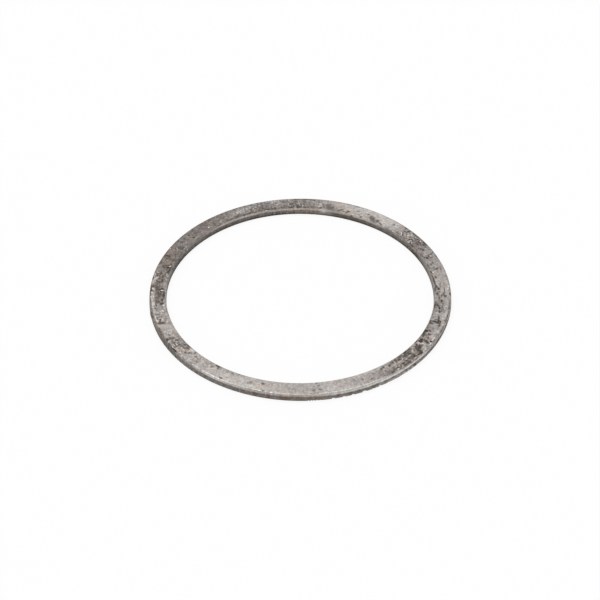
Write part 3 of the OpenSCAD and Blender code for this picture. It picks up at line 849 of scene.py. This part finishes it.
def brushed_place(g, mm):
    """Coordinates in which a noise becomes streaks that run across the band."""
    flat = g.vector("MULTIPLY", mm, (1.0, 1.0, 0.0))
    outward = g.node("VectorMath", {0: flat}, operation="NORMALIZE").outputs[0]
    radius = g.node("VectorMath", {0: flat}, operation="LENGTH").outputs["Value"]
    around = g.node("VectorMath", {0: outward, "Scale": MIDDLE_R}, operation="SCALE").outputs[0]
    lift = g.node("CombineXYZ", {"Z": g.math("MULTIPLY", radius, STREAK_STRETCH)}).outputs[0]
    return g.vector("ADD", around, lift)


def tinted(g, colour, tint):
    """The colour turned to brown where the tint is above 0, and to green where it is below."""
    brown = g.blend_colour(g.math("MAXIMUM", tint, 0.0), WHITE, BROWN_TINT)
    green = g.blend_colour(g.math("MAXIMUM", g.math("MULTIPLY", tint, -1.0), 0.0), WHITE, GREEN_TINT)
    colour = g.blend_colour(1.0, colour, brown, "MULTIPLY")
    return g.blend_colour(1.0, colour, green, "MULTIPLY")


def stained_steel():
    """Ground steel, dulled and stained: grain, mottling, pepper, spots and flecks from the stain fields, on a
    level that carries painted highlight and shade.
    """
    mat = bpy.data.materials.new("stained_steel")
    g = Graph(mat)
    bsdf = mat.node_tree.nodes["Principled BSDF"]
    place = g.node("TexCoord").outputs["Object"]
    mm = g.vector("MULTIPLY", place, (1 / MM, 1 / MM, 1 / MM))
    tone, spot, fleck = g.field("tone"), g.field("spot"), g.field("fleck")
    tint, mottle = g.field("tint"), g.field("mottle")

    # Grain, flakes, patches and streaks move the level
    grain = g.noise(mm, *GRAIN)
    fine = g.swing(grain, FINE_SWING)
    middle = g.swing(g.noise(mm, *FLAKES), MIDDLE_SWING)
    broad = g.swing(g.noise(mm, *PATCHES), BROAD_SWING)
    streaks = g.swing(g.noise(brushed_place(g, mm), *STREAKS), STREAK_SWING)
    motion = g.math("ADD", g.math("ADD", fine, middle), g.math("ADD", broad, streaks))
    level = g.math("MULTIPLY_ADD", motion, mottle, tone)

    # Pepper, spots and flecks, with ragged outlines
    dots = g.spread(g.noise(mm, *PEPPER), *PEPPER_DOTS)
    dots = g.math("MULTIPLY", dots, g.spread(mottle, *PEPPER_BY_MOTTLE))
    ragged = g.swing(g.noise(mm, *RAGGED), RAGGED_SWING)
    dark = g.math("MULTIPLY_ADD", ragged, g.spread(spot, *RAGGED_MARKS), spot)
    dark = g.math("MAXIMUM", g.spread(dark, *SPOT_SHOWS, shape="LINEAR"), dots)
    spot_level = g.math("MULTIPLY_ADD", g.math("SUBTRACT", grain, 0.5), SPOT_GRAIN, SPOT_LEVEL)
    level = g.blend(dark, level, spot_level)
    bright = g.math("MULTIPLY_ADD", ragged, g.spread(fleck, *RAGGED_MARKS), fleck)
    bright = g.spread(bright, *FLECK_SHOWS)
    level = g.blend(bright, level, FLECK_LEVEL)

    # Colour, with a tint that drifts from place to place and leaves the flecks alone
    drift = g.math("SUBTRACT", g.noise(mm, *DRIFT), 0.5)
    tint = g.math("MULTIPLY_ADD", drift, TINT_DRIFT, tint)
    tint = g.math("MULTIPLY", tint, g.math("SUBTRACT", 1.0, bright))
    g.join(tinted(g, steel_colour(g, level), tint), bsdf.inputs["Base Color"])

    for name, limits in FINISH.items():
        g.join(g.spread(level, *limits), bsdf.inputs[name])
    height = g.math("MULTIPLY_ADD", grain, GRAIN_RELIEF, g.math("MULTIPLY", dark, -1.0))
    bump = g.node("Bump", {"Height": height, "Strength": BUMP_STRENGTH, "Distance": BUMP_DEPTH * MM})
    g.join(bump.outputs["Normal"], bsdf.inputs["Normal"])
    return mat


# Stage


def placed(name, data):
    """A new object in the scene."""
    made = bpy.data.objects.new(name, data)
    bpy.context.scene.collection.objects.link(made)
    return made


def floor_material():
    """A pale floor that shows white to the camera and still keeps a faint shadow."""
    mat = bpy.data.materials.new("pale_floor")
    g = Graph(mat)
    g.tree.nodes.clear()
    path = g.node("LightPath")
    seen = g.math("MAXIMUM", path.outputs["Is Camera Ray"], path.outputs["Is Glossy Ray"])
    seen = g.math("MAXIMUM", seen, path.outputs["Is Transmission Ray"])
    share = g.math("MULTIPLY", seen, FLOOR_WHITE_SHARE)
    diffuse = g.node("BsdfDiffuse", {"Color": srgb(*FLOOR_SCREEN_COLOUR)})
    white = g.node("Emission", {"Color": WHITE, "Strength": 1.0})
    mix = g.node("MixShader", {0: share, 1: diffuse.outputs[0], 2: white.outputs[0]})
    g.node("OutputMaterial", {"Surface": mix.outputs[0]})
    return mat


def make_floor():
    """The studio floor, a hair below the ring so that the two faces don't meet."""
    mesh = bpy.data.meshes.new("floor")
    corners = [(x * FLOOR_HALF, y * FLOOR_HALF, 0) for x, y in ((-1, -1), (1, -1), (1, 1), (-1, 1))]
    mesh.from_pydata(corners, [], [(0, 1, 2, 3)])
    mesh.materials.append(floor_material())
    floor = placed("floor", mesh)
    floor.location = (0, 0, -FLOOR_DROP * MM)


def make_lights():
    """An even white surround and one broad soft light from above."""
    world = bpy.data.worlds.new("studio")
    bpy.context.scene.world = world
    world.use_nodes = True
    back = world.node_tree.nodes["Background"]
    back.inputs["Color"].default_value = WHITE
    back.inputs["Strength"].default_value = WORLD_STRENGTH
    sun = bpy.data.lights.new("soft_key", "SUN")
    sun.energy = KEY_ENERGY
    sun.angle = KEY_SPREAD
    towards = Vector(KEY_FROM).normalized()
    placed("soft_key", sun).rotation_euler = towards.to_track_quat("Z", "Y").to_euler()


def make_camera():
    """The photograph's camera: its axis passes through the ring's middle, and the shift frames it."""
    data = bpy.data.cameras.new("camera")
    data.sensor_width = SENSOR
    focal_pixels = PIXELS_PER_RIM_R * CAMERA_DISTANCE / (RIM_R * MM)
    data.lens = focal_pixels * SENSOR / PICTURE
    data.shift_x = -(RING_CENTRE_PIXEL[0] - MIDDLE_PIXEL) / PICTURE
    data.shift_y = (RING_CENTRE_PIXEL[1] - MIDDLE_PIXEL) / PICTURE
    data.clip_start = CLIP_NEAR
    data.clip_end = CLIP_FAR
    camera = placed("camera", data)
    back = Vector((0, -math.cos(CAMERA_ELEVATION), math.sin(CAMERA_ELEVATION)))
    camera.location = Vector((0, 0, THICK * MM / 2)) + back * CAMERA_DISTANCE
    camera.rotation_euler = back.to_track_quat("Z", "Y").to_euler()
    bpy.context.scene.camera = camera


bpy.context.scene.view_settings.view_transform = "Standard"
make_camera()
make_lights()
make_floor()
mesh = ring_mesh("worn_ring")
mesh.materials.append(stained_steel())
ring = placed("worn_ring", mesh)
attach(ring, "root")
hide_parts("shim_washer")
